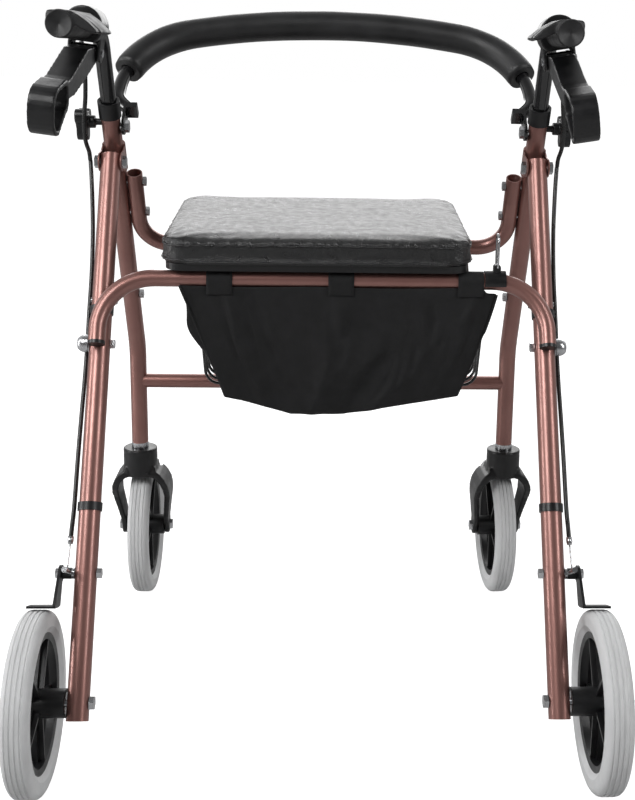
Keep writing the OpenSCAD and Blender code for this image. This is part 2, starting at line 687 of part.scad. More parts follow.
/* Wheels, drawn with the axle along Z and the middle plane at z = 0 */
rim_r = 72;
shoulder = 8;
module tyre_section() {
    w = tyre_w / 2;
    difference() {
        polygon(concat([[rim_r, -w + 4], [rim_r + 6, -w]],
            arc_pts([wheel_r - shoulder, -w + shoulder], shoulder, -90, 0, 6),
            arc_pts([wheel_r - shoulder, w - shoulder], shoulder, 0, 90, 6),
            [[rim_r + 6, w], [rim_r, w - 4]]));
        for (z = [-7.5, -2.5, 2.5, 7.5]) translate([wheel_r, z]) circle(d = 2.2, $fn = 16);
    }
}
module tyre() { color(tyre_grey) rotate_extrude($fn = 120) tyre_section(); }
bearing_d = 22;
bearing_w = 7;
module rim(z0, z1, hub_d, bore_d, seat_depth) {
    color(black) difference() {
        union() {
            rotate_extrude($fn = 120) polygon([[rim_r - 7, -9], [rim_r, -10], [rim_r, 10],
                [rim_r - 7, 9], [rim_r - 5.5, 0]]);
            translate([0, 0, z0]) cylinder(d = hub_d, h = z1 - z0);
            for (i = [0 : 4]) rotate([0, 0, 72 * i]) {
                translate([8, -6, -2]) cube([rim_r - 12, 12, 4]);
                translate([8, -1.5, -8]) cube([rim_r - 12, 3, 16]);
            }
        }
        translate([0, 0, z0 - 1]) cylinder(d = bore_d, h = z1 - z0 + 2);
        if (seat_depth > 0) for (z = [z0 - 1, z1 - seat_depth])
            translate([0, 0, z]) cylinder(d = bearing_d, h = seat_depth + 1);
    }
}
module bearings(z0, z1) {
    color(zinc) for (z = [z0, z1 - bearing_w]) translate([0, 0, z])
        ring(bearing_d, bolt_d + 2 * play, bearing_w);
}
module on_rear_axle() { translate([rear_wheel_x, rear_y, wheel_r]) rotate([0, 90, 0]) children(); }
module rear_tyre_left() { side(-1) on_rear_axle() tyre(); }
module rear_tyre_right() { side(1) on_rear_axle() tyre(); }
module rear_rim() { on_rear_axle() rim(hub_in - rear_wheel_x, hub_out - rear_wheel_x, 30, 10, bearing_w); }
module rear_rim_left() { side(-1) rear_rim(); }
module rear_rim_right() { side(1) rear_rim(); }
module rear_bearings() { on_rear_axle() bearings(hub_in - rear_wheel_x, hub_out - rear_wheel_x); }
module rear_bearings_left() { side(-1) rear_bearings(); }
module rear_bearings_right() { side(1) rear_bearings(); }

/* Casters, drawn from the swivel axis at floor level, then swivelled */
fork_in = 26;                 // inner face of a fork arm
fork_out = 33;
head_top = main_end_z - bush_flange - 0.5;
caster_hub = fork_in - 0.6;
module caster_at(s, swivel) {
    side(s) translate([side_x, stem_y, 0]) rotate([0, 0, swivel]) children();
}
module on_caster_axle() { translate([0, caster_trail, wheel_r]) rotate([0, 90, 0]) children(); }
module fork_side() {
    translate([caster_trail, wheel_r]) circle(r = 12);
    polygon([[-20, 190], [-16, 200], [22, 200], [30, 188], [caster_trail + 11, wheel_r + 24],
             [caster_trail + 11.9, wheel_r + 1], [caster_trail - 11.9, wheel_r + 1],
             [0, 150], [-14, 166], [-20, 178]]);
}
// The fork seen from behind: a wishbone whose arms close in towards the axle
module fork_front() {
    outer = [[fork_out, 78], [fork_out, 108], [35, 124], [39, 150], [39.5, 160], [38, 172], [34, 182], [28, 190], [22, 194],
             [22, 201]];
    inner = [[fork_in, 78], [fork_in, 108], [31, 152], [30.5, 165], [27, 176], [20, 184], [10, 188]];
    polygon(concat(outer, [for (i = [len(outer) - 1 : -1 : 0]) [-outer[i].x, outer[i].y]],
        [for (p = inner) [-p.x, p.y]], [for (i = [len(inner) - 1 : -1 : 0]) inner[i]]));
}
module caster_fork() {
    color(black) difference() {
        union() {
            translate([0, 0, 186]) cylinder(d = 46, h = head_top - 186);
            intersection() {
                translate([-45, 0, 0]) side_view() linear_extrude(90) fork_side();
                translate([0, 70, 0]) rotate([90, 0, 0]) linear_extrude(120) fork_front();
            }
        }
        translate([0, 0, head_top - 8]) ring(50, 44, 1.6);
        on_caster_axle() translate([0, 0, -fork_in]) cylinder(r = wheel_r + 4, h = 2 * fork_in, $fn = 96);
        on_caster_axle() translate([0, 0, -50]) cylinder(d = bolt_d, h = 100);
        translate([0, 0, 150]) cylinder(d = stem_d, h = 100);
    }
}
module caster_stem() {
    color(zinc) {
        translate([0, 0, head_top - 26]) cylinder(d = stem_d, h = 62);
    }
}
module caster_axle() {
    color(zinc) on_caster_axle() {
        translate([0, 0, -fork_out]) cylinder(d = bolt_d, h = 2 * fork_out);
        for (z = [-fork_out - 4, fork_out]) translate([0, 0, z]) cylinder(d = 13 / cos(30), h = 4, $fn = 6);
    }
}
module caster_rim() {
    on_caster_axle() rim(-caster_hub, caster_hub, 28, bolt_d + 2 * play, 0);
}
module caster_fork_left() { caster_at(-1, swivel_left) caster_fork(); }
module caster_fork_right() { caster_at(1, swivel_right) caster_fork(); }
module caster_stem_left() { caster_at(-1, swivel_left) caster_stem(); }
module caster_stem_right() { caster_at(1, swivel_right) caster_stem(); }
module caster_axle_left() { caster_at(-1, swivel_left) caster_axle(); }
module caster_axle_right() { caster_at(1, swivel_right) caster_axle(); }
module caster_tyre_left() { caster_at(-1, swivel_left) on_caster_axle() tyre(); }
module caster_tyre_right() { caster_at(1, swivel_right) on_caster_axle() tyre(); }
module caster_rim_left() { caster_at(-1, swivel_left) caster_rim(); }
module caster_rim_right() { caster_at(1, swivel_right) caster_rim(); }

/* Pouch: a soft bag hung from the rear seat bar by three loops */
pouch_x0 = -163;
pouch_x1 = 196;
pouch_y0 = rear_bar_y - bar_d / 2 - 0.3;
pouch_t = 34;
pouch_top = rear_bar_z - 17;
pouch_low = 346;
pouch_wall = 2;
module pouch_slab(y0, y1, inset, up) {
    translate([0, y1, 0]) rotate([90, 0, 0]) linear_extrude(y1 - y0)
        polygon([[pouch_x0 + inset, pouch_top + up], [pouch_x1 - inset, pouch_top + up],
            [163 - inset, 368 + inset], [20, pouch_low + inset], [-38, pouch_low + inset],
            [-116 + inset, 366 + inset]]);
}
module pouch() {
    color(soft_black) difference() {
        pouch_slab(pouch_y0, pouch_y0 + pouch_t, 0, 0);
        pouch_slab(pouch_y0 + pouch_wall, pouch_y0 + pouch_t - pouch_wall, 2.4, 1);
    }
}
strap_xs = [-118, 19, 166];
strap_w = 29;
module pouch_straps() {
    r = bar_d / 2 + 0.4;
    color(soft_black) for (x = strap_xs) translate([x - strap_w / 2, rear_bar_y, rear_bar_z])
        side_view() linear_extrude(strap_w) difference() {
            union() {
                circle(r = r + 1.6);
                translate([-r - 1.6, -22]) square([2 * r + 3.2, 22]);
            }
            circle(r = r);
            translate([-r, -30]) square([2 * r, 30]);
        }
}

/* Wire bail on a clip at the right end of the rear seat bar; it hooks the folded frame shut */
clip_x0 = 182;
clip_x1 = 206;
bail_x = 196;
eye_h = 7;                    // height of the bail's hinge above the bar's top
bail_d = 2.4;
module bail_clip() {
    r = bar_d / 2;
    color(black) translate([0, rear_bar_y, rear_bar_z]) difference() {
        union() {
            translate([clip_x0, 0, 0]) rotate([0, 90, 0]) cylinder(r = r + 3, h = clip_x1 - clip_x0);
            translate([bail_x - 4, -5, 0]) cube([8, 10, r + eye_h]);
            translate([bail_x, -5, r + eye_h]) rotate([-90, 0, 0]) cylinder(r = 4, h = 10);
        }
        translate([0, -rear_bar_y, -rear_bar_z]) rear_bar_cut(0.1);
        translate([clip_x0 - 1, -20, -30]) cube([60, 40, 26]);
        translate([bail_x, -10, r + eye_h]) rotate([-90, 0, 0]) cylinder(d = bail_d + 2 * play, h = 20);
    }
}
module wire_bail() {
    color(zinc) translate([bail_x, rear_bar_y, rear_bar_z + bar_d / 2 + eye_h]) side_view()
        rod_path([[-1, 0], [-7.5, 0], [-9, 20], [-9, 38], [9, 38], [9, 20], [7.5, 0], [1, 0]],
                 [1.5, 12, 8.5, 8.5, 12, 1.5], bail_d);
}

/* Brake cables: from each housing past the fold pivot, then down the rear leg to the brake */
cable_d = 5;
cable_sides = 8;
upper_route = [[266, -40, 765], [268, -22, 748], [270, -4, 728], [273, 8, 704], [277, 17, 680],
    [278, 27, 656], [276, 36, 642], [276, 41, 634]];
// Points of the lower cable: distance down the leg from the fold pivot, distance in front of the leg's
// axis, and distance from the centre
lower_stations = [[-2, 1, 276], [30, 4, 273], [80, 10, 270], [130, 14, 269], [182, 14, 269], [221, 15, 269],
    [260, 13, 269], [300, 8, 269], [350, 3, 269], [404, 0, 269], [425, 0, 270], [443, 1, 271]];
lower_route = [for (p = lower_stations)
    [p[2], fold_y - p[0] * sin(leg_lean) + p[1] * cos(leg_lean),
     fold_z - p[0] * cos(leg_lean) - p[1] * sin(leg_lean)]];
function route_at(p, i, t) =
    let (a = p[max(i - 1, 0)], b = p[i], c = p[min(i + 1, len(p) - 1)], d = p[min(i + 2, len(p) - 1)])
    0.5 * (2 * b + (c - a) * t + (2 * a - 5 * b + 4 * c - d) * t * t + (3 * b - a - 3 * c + d) * t * t * t);
module cable(route) {
    steps = 2;
    pts = [for (i = [0 : len(route) - 2], k = [0 : steps - 1]) route_at(route, i, k / steps),
           route[len(route) - 1]];
    n = len(pts);
    rings = [for (i = [0 : n - 1])
        let (dir = unit(pts[min(i + 1, n - 1)] - pts[max(i - 1, 0)]),
             u = unit(cross(dir, [0, 1, 0])), v = cross(dir, u))
        for (k = [0 : cable_sides - 1])
            pts[i] + cable_d / 2 * (u * cos(360 * k / cable_sides) + v * sin(360 * k / cable_sides))];
    walls = [for (i = [0 : n - 2], k = [0 : cable_sides - 1])
        let (m = (k + 1) % cable_sides)
        [i * cable_sides + k, i * cable_sides + m, (i + 1) * cable_sides + m, (i + 1) * cable_sides + k]];
    color(black) polyhedron(points = rings, faces = concat(
        [[for (k = [cable_sides - 1 : -1 : 0]) k]], walls,
        [[for (k = [0 : cable_sides - 1]) (n - 1) * cable_sides + k]]), convexity = 4);
}
module upper_cables() { both_sides() cable(upper_route); }
module lower_cables() { both_sides() cable(lower_route); }

main_tube_left();
main_tube_right();
front_cross_tube();
front_seat_bar();
leg_brackets();
fold_bolts();
tube_collars();
frame_bolts();
stem_bushes();
wire_basket();
handle_tube_left();
handle_tube_right();
hand_grip_left();
hand_grip_right();
brake_housing_left();
brake_housing_right();
lever_pin_left();
lever_pin_right();
brake_lever_left();
brake_lever_right();
height_knob_left();
height_knob_right();
backrest_tube();
backrest_pad();
seat_board();
seat_cushion();
seat_hinges();
rear_leg_left();
rear_leg_right();
rear_seat_bar();
bar_end_caps();
leg_bolts();
cable_clips();
rear_axle_bolts();
brake_pivots();
brake_springs();
brake_arm_left();
brake_arm_right();
rear_tyre_left();
rear_tyre_right();
rear_rim_left();
rear_rim_right();
rear_bearings_left();
rear_bearings_right();
caster_fork_left();
caster_fork_right();
caster_stem_left();
caster_stem_right();
caster_axle_left();
caster_axle_right();
caster_tyre_left();
caster_tyre_right();
caster_rim_left();
caster_rim_right();
pouch();
pouch_straps();
bail_clip();
wire_bail();
upper_cables();
lower_cables();
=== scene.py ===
"""Looks of the folding rollator walker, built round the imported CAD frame."""
import json
import math

import bmesh
import bpy
import numpy as np
from mathutils import Matrix, Vector, noise


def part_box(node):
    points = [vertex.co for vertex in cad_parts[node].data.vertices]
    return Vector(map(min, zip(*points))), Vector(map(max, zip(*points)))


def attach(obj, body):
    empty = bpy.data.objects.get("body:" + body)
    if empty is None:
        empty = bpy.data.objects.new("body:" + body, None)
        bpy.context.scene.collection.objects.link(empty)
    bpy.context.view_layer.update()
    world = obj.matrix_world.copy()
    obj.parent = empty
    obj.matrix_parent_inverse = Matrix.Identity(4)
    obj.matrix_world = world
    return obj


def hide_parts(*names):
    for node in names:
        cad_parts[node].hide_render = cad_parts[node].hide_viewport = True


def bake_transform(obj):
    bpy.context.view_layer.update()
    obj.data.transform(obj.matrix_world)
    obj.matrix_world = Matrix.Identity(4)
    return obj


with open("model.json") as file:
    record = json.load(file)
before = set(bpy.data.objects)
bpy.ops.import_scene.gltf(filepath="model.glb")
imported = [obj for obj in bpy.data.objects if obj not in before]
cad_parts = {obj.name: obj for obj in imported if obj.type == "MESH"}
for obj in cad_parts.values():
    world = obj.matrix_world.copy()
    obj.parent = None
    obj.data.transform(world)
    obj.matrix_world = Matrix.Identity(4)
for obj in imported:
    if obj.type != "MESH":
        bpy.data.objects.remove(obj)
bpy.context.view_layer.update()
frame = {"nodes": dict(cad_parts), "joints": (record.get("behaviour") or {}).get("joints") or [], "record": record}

MM = 0.001
JOINTS = {j["name"]: j for j in frame["joints"]}
SIDES = {"left": -1, "right": 1}


def joint_at(name):
    """Where a joint's axis passes, in the row frame."""
    return Vector(JOINTS[name]["pos_m"])


# ---------------------------------------------------------------- materials

def new_material(name, colour, roughness, metallic=0.0):
    mat = bpy.data.materials.new(name)
    mat.use_nodes = True
    tree = mat.node_tree
    shader = tree.nodes["Principled BSDF"]
    shader.inputs["Base Color"].default_value = (*colour, 1)
    shader.inputs["Roughness"].default_value = roughness
    shader.inputs["Metallic"].default_value = metallic
    return mat, tree, shader


def object_coords(tree, scale=(1, 1, 1)):
    coords = tree.nodes.new("ShaderNodeTexCoord")
    mapping = tree.nodes.new("ShaderNodeMapping")
    mapping.inputs["Scale"].default_value = scale
    tree.links.new(coords.outputs["Object"], mapping.inputs["Vector"])
    return mapping.outputs["Vector"]


def noise_field(tree, vector, scale, detail=4.0, rough=0.55):
    node = tree.nodes.new("ShaderNodeTexNoise")
    node.inputs["Scale"].default_value = scale
    node.inputs["Detail"].default_value = detail
    node.inputs["Roughness"].default_value = rough
    tree.links.new(vector, node.inputs["Vector"])
    return node.outputs["Fac"]


def to_range(tree, value, low, high, from_low=0.0, from_high=1.0):
    node = tree.nodes.new("ShaderNodeMapRange")
    node.inputs["From Min"].default_value = from_low
    node.inputs["From Max"].default_value = from_high
    node.inputs["To Min"].default_value = low
    node.inputs["To Max"].default_value = high
    tree.links.new(value, node.inputs["Value"])
    return node.outputs["Result"]


def blend_colours(tree, factor, first, second):
    node = tree.nodes.new("ShaderNodeMix")
    node.data_type = "RGBA"
    node.inputs["A"].default_value = (*first, 1)
    node.inputs["B"].default_value = (*second, 1)
    tree.links.new(factor, node.inputs["Factor"])
    return node.outputs["Result"]


def add_bump(tree, shader, height, distance, strength=1.0):
    node = tree.nodes.new("ShaderNodeBump")
    node.inputs["Distance"].default_value = distance
    node.inputs["Strength"].default_value = strength
    tree.links.new(height, node.inputs["Height"])
    previous = shader.inputs["Normal"].links
    if previous:
        tree.links.new(previous[0].from_socket, node.inputs["Normal"])
    tree.links.new(node.outputs["Normal"], shader.inputs["Normal"])


def speckled(name, colour, worn, roughness, metallic, patch, grain, grain_depth, coat=0.0):
    """A coloured surface with soft patches of wear and a fine grain."""
    mat, tree, shader = new_material(name, colour, roughness, metallic)
    where = object_coords(tree)
    patches = noise_field(tree, where, patch, 5)
    colours = blend_colours(tree, to_range(tree, patches, 0, 1, 0.35, 0.7), colour, worn)
    tree.links.new(colours, shader.inputs["Base Color"])
    fine = noise_field(tree, where, grain, 2)
    spread = to_range(tree, patches, roughness * 0.8, roughness * 1.25, 0.3, 0.7)
    tree.links.new(spread, shader.inputs["Roughness"])
    add_bump(tree, shader, fine, grain_depth)
    shader.inputs["Coat Weight"].default_value = coat
    shader.inputs["Coat Roughness"].default_value = 0.06
    return mat


def rose_paint():
    """Metallic paint: a rose-brown coat with fine flakes under clear lacquer."""
    base, deep = (0.375, 0.190, 0.164), (0.275, 0.132, 0.114)
    mat, tree, shader = new_material("rose_paint", base, 0.36, 0.70)
    where = object_coords(tree)
    clouds = noise_field(tree, where, 26, 5)
    flakes = tree.nodes.new("ShaderNodeTexVoronoi")
    flakes.inputs["Scale"].default_value = 2600
    tree.links.new(where, flakes.inputs["Vector"])
    spark = to_range(tree, flakes.outputs["Distance"], 0.0, 0.35, 0.0, 0.9)
    mix = tree.nodes.new("ShaderNodeMath")
    mix.operation = "MULTIPLY"
    tree.links.new(to_range(tree, clouds, 0.3, 1.0, 0.3, 0.7), mix.inputs[0])
    tree.links.new(to_range(tree, spark, 0.7, 1.0), mix.inputs[1])
    tree.links.new(blend_colours(tree, mix.outputs[0], base, deep), shader.inputs["Base Color"])
    tree.links.new(to_range(tree, clouds, 0.31, 0.41, 0.3, 0.7), shader.inputs["Roughness"])
    add_bump(tree, shader, noise_field(tree, where, 700, 2), 0.00002)
    shader.inputs["Coat Weight"].default_value = 0.35
    shader.inputs["Coat Roughness"].default_value = 0.14
    return mat


def zinc_plate():
    return speckled("zinc", (0.66, 0.67, 0.69), (0.48, 0.48, 0.49), 0.24, 1.0, 90, 900, 0.00002)


def grained_vinyl():
    """Seat cover: glossy black vinyl with a pebbled grain."""
    mat, tree, shader = new_material("grained_vinyl", (0.006, 0.006, 0.0065), 0.34)
    where = object_coords(tree)
    warp = noise_field(tree, where, 120, 3)
    pebbles = tree.nodes.new("ShaderNodeTexVoronoi")
    pebbles.feature = "DISTANCE_TO_EDGE"
    pebbles.inputs["Scale"].default_value = 520
    tree.links.new(where, pebbles.inputs["Vector"])
    cells = to_range(tree, pebbles.outputs["Distance"], 0.0, 1.0, 0.0, 0.25)
    tree.links.new(to_range(tree, warp, 0.26, 0.42, 0.3, 0.7), shader.inputs["Roughness"])
    tones = blend_colours(tree, warp, (0.005, 0.005, 0.0055), (0.010, 0.010, 0.0105))
    tree.links.new(tones, shader.inputs["Base Color"])
    add_bump(tree, shader, noise_field(tree, object_coords(tree, (1, 4, 4)), 22, 4), 0.0006, 0.4)
    add_bump(tree, shader, cells, 0.00018)
    shader.inputs["Specular IOR Level"].default_value = 0.75
    return mat


def woven_nylon():
    """Pouch cloth: plain weave, dull black with a soft sheen."""
    mat, tree, shader = new_material("woven_nylon", (0.010, 0.010, 0.011), 0.72)
    where = object_coords(tree)
    threads = []
    for axis in "XZ":
        wave = tree.nodes.new("ShaderNodeTexWave")
        wave.bands_direction = axis
        wave.inputs["Scale"].default_value = 900
        wave.inputs["Distortion"].default_value = 0.4
        wave.inputs["Detail"].default_value = 1.0
        tree.links.new(where, wave.inputs["Vector"])
        threads.append(wave.outputs["Fac"])
    weave = tree.nodes.new("ShaderNodeMath")
    weave.operation = "MAXIMUM"
    tree.links.new(threads[0], weave.inputs[0])
    tree.links.new(threads[1], weave.inputs[1])
    dust = noise_field(tree, where, 60, 5)
    clean, dusty = (0.0045, 0.0045, 0.005), (0.011, 0.011, 0.012)
    tones = blend_colours(tree, to_range(tree, dust, 0, 1, 0.35, 0.75), clean, dusty)
    tree.links.new(tones, shader.inputs["Base Color"])
    tree.links.new(to_range(tree, dust, 0.6, 0.82), shader.inputs["Roughness"])
    add_bump(tree, shader, noise_field(tree, where, 45, 4), 0.0016, 0.6)
    add_bump(tree, shader, weave.outputs[0], 0.00008)
    shader.inputs["Specular IOR Level"].default_value = 0.35
    shader.inputs["Sheen Weight"].default_value = 0.06
    shader.inputs["Sheen Roughness"].default_value = 0.4
    return mat


def grey_tyre():
    """Non-marking rubber: light grey with rolling streaks and scuffs."""
    mat, tree, shader = new_material("grey_tyre", (0.50, 0.51, 0.52), 0.62)
    where = object_coords(tree)
    streaks = noise_field(tree, object_coords(tree, (5, 1, 1)), 30, 5, 0.6)
    scuffs = noise_field(tree, where, 260, 3)
    clean, dirty = (0.68, 0.685, 0.69), (0.61, 0.615, 0.62)
    tones = blend_colours(tree, to_range(tree, streaks, 0, 1, 0.42, 0.68), clean, dirty)
    tree.links.new(tones, shader.inputs["Base Color"])
    tree.links.new(to_range(tree, scuffs, 0.5, 0.8), shader.inputs["Roughness"])
    add_bump(tree, shader, scuffs, 0.00012)
    return mat


COAL, WORN_COAL = (0.006, 0.006, 0.0065), (0.011, 0.011, 0.012)
ROSE = rose_paint()
ZINC = zinc_plate()
ENAMEL = speckled("black_enamel", COAL, WORN_COAL, 0.15, 0.0, 40, 500, 0.00002, 0.6)
PLASTIC = speckled("black_plastic", COAL, WORN_COAL, 0.34, 0.0, 60, 1500, 0.00005)
RUBBER = speckled("grip_rubber", (0.009, 0.009, 0.0095), (0.019, 0.019, 0.020), 0.48, 0.0,
                  70, 1100, 0.00010)
FOAM = speckled("black_foam", (0.008, 0.008, 0.0085), (0.016, 0.016, 0.017), 0.42, 0.0,
                30, 1300, 0.00016)
JACKET = speckled("cable_jacket", (0.010, 0.010, 0.010), (0.020, 0.020, 0.020), 0.30, 0.0,
                  90, 900, 0.00003)
VINYL = grained_vinyl()
NYLON = woven_nylon()
TYRE = grey_tyre()
FOAM.node_tree.nodes["Principled BSDF"].inputs["Sheen Weight"].default_value = 0.1

BY_SLOT = {"frame_paint": ROSE, "zinc": ZINC, "black_enamel": ENAMEL, "black_plastic": PLASTIC,
           "grip_rubber": RUBBER, "foam": FOAM, "vinyl": VINYL, "nylon": NYLON, "tyre": TYRE,
           "cable_jacket": JACKET}
for part in frame["record"]["subparts"]:
    cad = frame["nodes"][part["node"]]
    cad.data.materials.clear()
    cad.data.materials.append(BY_SLOT[part["material_slot"]])


def melted(node, voxel, rounds):
    """Rounds a CAD part's edges the way a moulding has them, without touching its mesh."""
    cad = frame["nodes"][node]
    melt = cad.modifiers.new("melt", "REMESH")
    melt.mode = "VOXEL"
    melt.voxel_size = voxel
    melt.use_smooth_shade = True
    soften = cad.modifiers.new("soften", "SMOOTH")
    soften.factor = 0.5
    soften.iterations = rounds


# ---------------------------------------------------------------- mesh helpers

def mesh_object(name, points, faces, material):
    mesh = bpy.data.meshes.new(name)
    mesh.from_pydata([tuple(p) for p in points], [], faces)
    mesh.validate()
    obj = bpy.data.objects.new(name, mesh)
    bpy.context.scene.collection.objects.link(obj)
    mesh.materials.append(material)
    tidy_normals(obj)
    shade_smooth(obj)
    return obj


def shade_smooth(obj):
    obj.data.polygons.foreach_set("use_smooth", [True] * len(obj.data.polygons))


def tidy_normals(obj):
    bm = bmesh.new()
    bm.from_mesh(obj.data)
    bmesh.ops.recalc_face_normals(bm, faces=bm.faces)
    bm.to_mesh(obj.data)
    bm.free()


def apply_modifiers(obj):
    graph = bpy.context.evaluated_depsgraph_get()
    made = bpy.data.meshes.new_from_object(obj.evaluated_get(graph))
    old = obj.data
    obj.modifiers.clear()
    obj.data = made
    bpy.data.meshes.remove(old)


def smooth_path(points, per_span):
    """A Catmull-Rom curve through the points."""
    pts = [Vector(p) for p in points]
    out = []
    for i in range(len(pts) - 1):
        a, b = pts[max(i - 1, 0)], pts[i]
        c, d = pts[i + 1], pts[min(i + 2, len(pts) - 1)]
        for k in range(per_span):
            t = k / per_span
            out.append(0.5 * (2 * b + (c - a) * t + (2 * a - 5 * b + 4 * c - d) * t * t
                              + (3 * b - a - 3 * c + d) * t ** 3))
    out.append(pts[-1])
    return out


def frames_along(path):
    """Twist-free side and up vectors at each point of a path."""
    count = len(path)
    tangents = [(path[min(i + 1, count - 1)] - path[max(i - 1, 0)]).normalized() for i in range(count)]
    side = tangents[0].orthogonal().normalized()
    result = []
    for t in tangents:
        side = (side - t * side.dot(t)).normalized()
        result.append((side, t.cross(side)))
    return result


def circle(centre, u, v, radius, steps):
    """Points round a centre, in the plane of u and v."""
    turns = [2 * math.pi * k / steps for k in range(steps)]
    return [centre + radius * (math.cos(a) * u + math.sin(a) * v) for a in turns]


def bands(rings, steps, closed=False):
    """Faces between rings of points; closed joins the last ring to the first."""
    faces = []
    for i in range(rings if closed else rings - 1):
        a, b = i * steps, (i + 1) % rings * steps
        faces += [(a + k, a + (k + 1) % steps, b + (k + 1) % steps, b + k) for k in range(steps)]
    return faces


def end_faces(rings, steps):
    """The two faces that close a row of rings."""
    last = (rings - 1) * steps
    return [tuple(range(steps - 1, -1, -1)), tuple(range(last, last + steps))]


def swept(name, path, radius, material, sides=16, caps=True):
    """A round rod along a path."""
    points = []
    for p, (u, v) in zip(path, frames_along(path)):
        points += circle(p, u, v, radius, sides)
    faces = bands(len(path), sides) + (end_faces(len(path), sides) if caps else [])
    return mesh_object(name, points, faces, material)


def lathe(name, outline, centre, axis, material, steps=48):
    """A turned piece: outline holds (distance along the axis, radius) pairs."""
    axis = Vector(axis).normalized()
    u = axis.orthogonal().normalized()
    v = axis.cross(u)
    points = []
    for along, radius in outline:
        points += circle(Vector(centre) + axis * along, u, v, radius, steps)
    faces = bands(len(outline), steps) + end_faces(len(outline), steps)
    return mesh_object(name, points, faces, material)


def extruded(outline, low, high, place):
    """Points and faces of a plate, from an outline and its thickness; place turns them into 3-D."""
    points = [place(a, b, t) for t in (low, high) for a, b in outline]
    return points, end_faces(2, len(outline)) + bands(2, len(outline))


def moulded(name, solids, material, voxel, smoothing):
    """Melts several closed solids into one moulded shape with rounded edges."""
    points, faces = [], []
    for pts, fcs in solids:
        shift = len(points)
        points += list(pts)
        faces += [tuple(i + shift for i in f) for f in fcs]
    obj = mesh_object(name, points, faces, material)
    remesh = obj.modifiers.new("melt", "REMESH")
    remesh.mode = "VOXEL"
    remesh.voxel_size = voxel
    soften = obj.modifiers.new("soften", "SMOOTH")
    soften.factor = 0.5
    soften.iterations = smoothing
    apply_modifiers(obj)
    shade_smooth(obj)
    return obj


def rod(start, end, radius, steps):
    """Points and faces of a straight round rod."""
    start, end = Vector(start), Vector(end)
    axis = (end - start).normalized()
    u = axis.orthogonal().normalized()
    v = axis.cross(u)
    points = circle(start, u, v, radius, steps) + circle(end, u, v, radius, steps)
    return points, end_faces(2, steps) + bands(2, steps)


def settled(obj, pinned, steps, cap, pressure, gravity, mass, stretch, squeeze, bend):
    """Runs cloth on a mesh, pinned where asked, and caps how far each point may move."""
    rest = [v.co.copy() for v in obj.data.vertices]
    group = obj.vertex_groups.new(name="pin")
    group.add([i for i, p in enumerate(rest) if pinned(p)], 1.0, "REPLACE")
    cloth = obj.modifiers.new("cloth", "CLOTH").settings
    cloth.vertex_group_mass = "pin"
    cloth.use_pressure = True
    cloth.uniform_pressure_force = pressure
    cloth.effector_weights.gravity = gravity
    cloth.mass = mass
    cloth.tension_stiffness = stretch
    cloth.compression_stiffness = squeeze
    cloth.bending_stiffness = bend
    scene = bpy.context.scene
    for f in range(1, steps + 1):
        scene.frame_set(f)
    graph = bpy.context.evaluated_depsgraph_get()
    moved = [v.co.copy() for v in obj.evaluated_get(graph).data.vertices]
    obj.modifiers.clear()
    scene.frame_set(1)
    for vertex, start, end in zip(obj.data.vertices, rest, moved):
        step = end - start
        if step.length > cap:
            step *= cap / step.length
        vertex.co = start + step


# ---------------------------------------------------------------- seat cushion

SEAT_W, SEAT_D, SEAT_T = 352 * MM, 262 * MM, 30 * MM
SEAT_TILT = math.radians(4.3)


def seat_place():
    """Puts what is drawn round the cushion's middle where the cushion is."""
    low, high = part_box("seat_cushion")
    return Matrix.Translation((low + high) / 2) @ Matrix.Rotation(SEAT_TILT, 4, "X")


def rounded_rectangle(w, d, r, corner_steps=8):
    points = []
    for cx, cy, start in ((1, 1, 0), (-1, 1, 90), (-1, -1, 180), (1, -1, 270)):
        for k in range(corner_steps + 1):
            a = math.radians(start + 90 * k / corner_steps)
            points.append((cx * (w / 2 - r) + r * math.cos(a), cy * (d / 2 - r) + r * math.sin(a)))
    return points


def cushion_block():
    """The cushion's cut shape: a boxed pad with rounded corners."""
    outline = rounded_rectangle(SEAT_W - 1 * MM, SEAT_D - 2 * MM, 26 * MM)
    top = SEAT_T / 2 - 0.5 * MM
    points, faces = extruded(outline, -SEAT_T / 2, top, lambda a, b, t: Vector((a, b, t)))
    obj = mesh_object("cushion", points, faces, VINYL)
    remesh = obj.modifiers.new("remesh", "REMESH")
    remesh.mode = "VOXEL"
    remesh.voxel_size = 5 * MM
    apply_modifiers(obj)
    return obj


def puff(obj):
    """Blows the pad up with cloth, pinned where it rests on the board."""
    settled(obj, lambda p: p.z < -SEAT_T / 2 + 4 * MM, steps=20, cap=2.2 * MM, pressure=4.0,
            gravity=0, mass=0.3, stretch=22, squeeze=22, bend=0.6)


def wrinkle_cushion(obj):
    """Gathered puckers below the top seam, faint wrinkles and a soft hollow where people sit."""
    half_w, half_d = SEAT_W / 2, SEAT_D / 2
    for vertex in obj.data.vertices:
        x, y, z = vertex.co
        across, deep = abs(x) / half_w, abs(y) / half_d
        side = max(across, deep)
        along = x if deep > across else y
        below_seam = math.exp(-((z - SEAT_T / 2 + 6 * MM) / (5 * MM)) ** 2) * (1 if side > 0.9 else 0)
        pucker = noise.noise(Vector((along * 190 + z * 120, z * 30, 3.1)))
        outward = Vector((x / half_w, 0, 0)) if across > deep else Vector((0, y / half_d, 0))
        vertex.co += outward * below_seam * pucker * 1.6 * MM
        if z > 0:
            rim = max(0.0, min(1.0, (side - 0.88) / 0.08))
            vertex.co.z += rim * 0.8 * MM * noise.noise(Vector((along * 150, 7.7, 0.9)))
            vertex.co.z += (1 - rim) * 0.25 * MM * noise.noise(Vector((x * 14, y * 60, 0.4)))
            vertex.co.z -= 1.2 * MM * math.exp(-((x / 0.11) ** 2 + (y / 0.08) ** 2))


